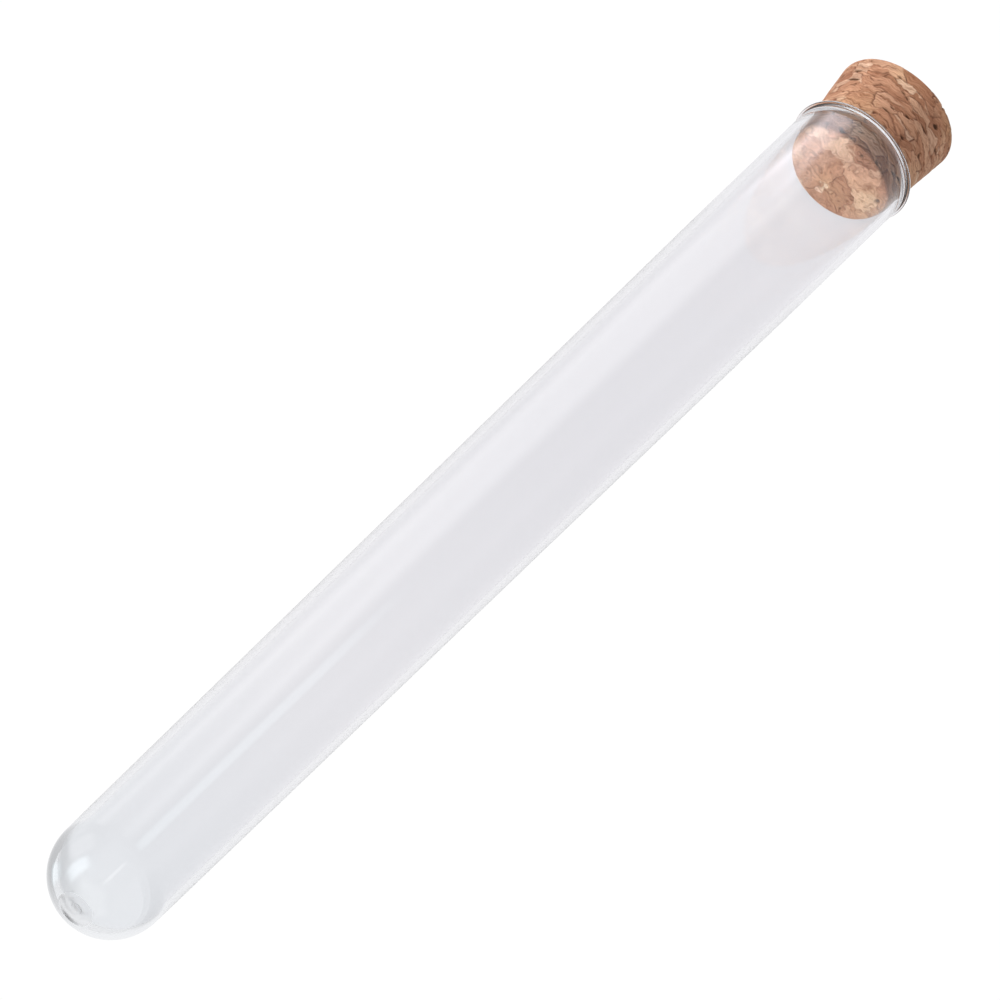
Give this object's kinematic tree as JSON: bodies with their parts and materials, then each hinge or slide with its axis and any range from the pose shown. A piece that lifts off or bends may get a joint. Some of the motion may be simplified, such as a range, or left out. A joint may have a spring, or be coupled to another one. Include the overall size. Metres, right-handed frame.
{
  "type": "test tube",
  "caption": "Clear round-bottomed moulded plastic test tube with a rimmed mouth, closed by a tapered cork stopper.",
  "frame": {"origin": "on the tube's axis, at the lowest point of the round bottom", "axes": "+Z along the tube's axis towards the mouth; -X is the side that the cork leans towards"},
  "size_m": [0.0157, 0.0154, 0.1596],
  "materials": {
    "clear_plastic": "clear, polished, moulded polystyrene",
    "cork": "bare agglomerated cork, matt"
  },
  "bodies": {
    "tube_body": {"tube": "clear_plastic"},
    "cork": {"cork_stopper": "cork"}
  },
  "joints": [
    {"name": "cork_slide", "type": "slide", "parent": "tube_body", "child": "cork", "axis": [0, 0, 1], "range_m": [0, 0.008]}
  ]
}
